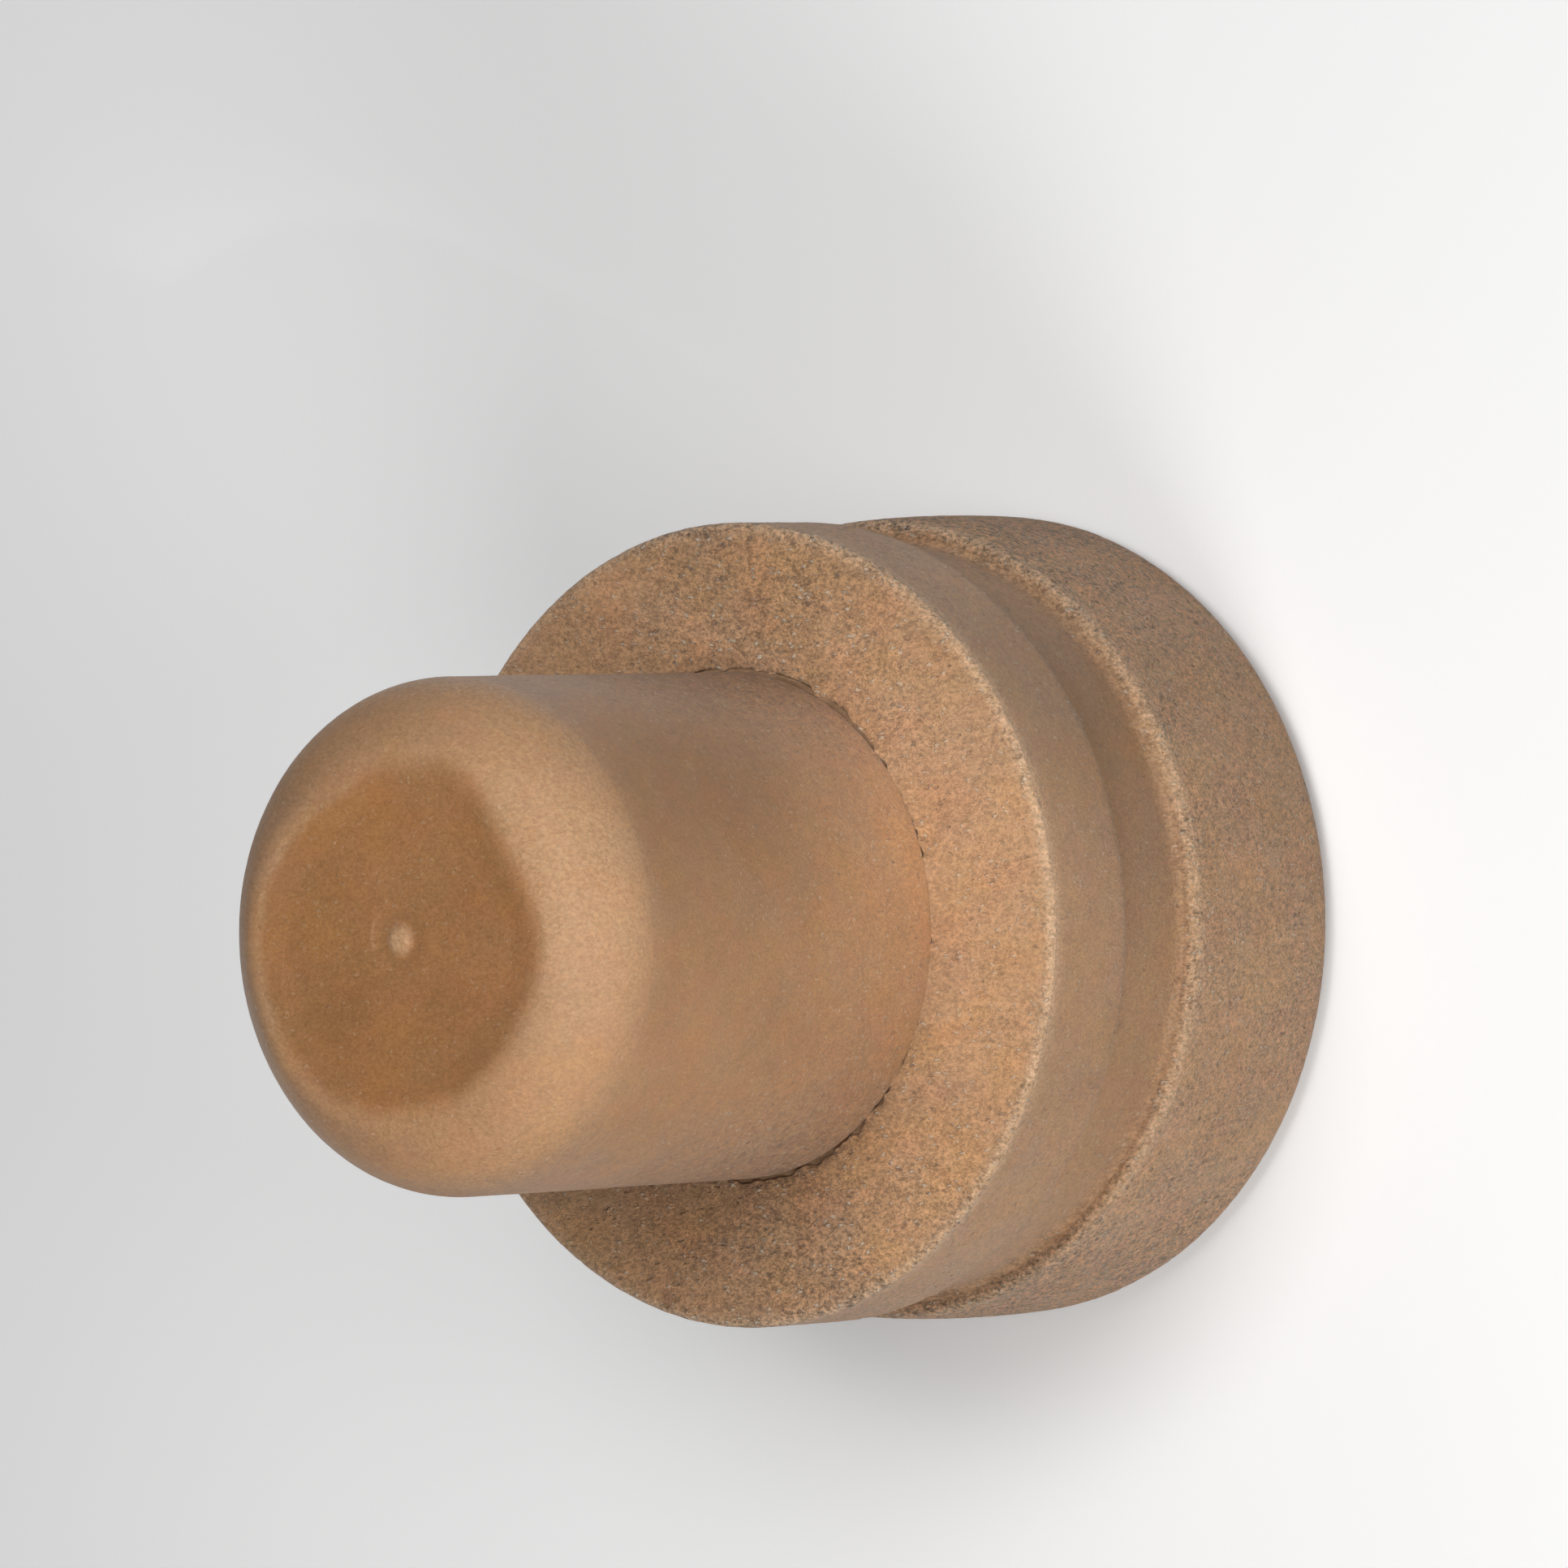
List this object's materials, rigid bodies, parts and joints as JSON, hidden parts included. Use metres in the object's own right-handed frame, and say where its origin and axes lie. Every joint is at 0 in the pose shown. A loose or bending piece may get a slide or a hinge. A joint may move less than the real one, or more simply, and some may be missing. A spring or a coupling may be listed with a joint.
{
  "type": "bottle stopper",
  "caption": "Bar-top bottle stopper: a thick round head with a shallow groove around its side, and a smooth cylindrical shank with a rounded nose that plugs the neck of a bottle.",
  "frame": {"origin": "centre of the flat crown, which the stopper stands on", "axes": "+Z along the stopper's axis, from the crown towards the nose of the shank; X and Y are any two directions across it"},
  "size_m": [0.0316, 0.0316, 0.0372],
  "materials": {
    "head": "bare, finely sanded wood composite",
    "shank": "bare, finely ground wood composite with a smooth moulded nose",
    "glue": "set glue, dull"
  },
  "bodies": {
    "root": {"head": "head", "shank": "shank", "glue_film": "glue"}
  },
  "joints": []
}
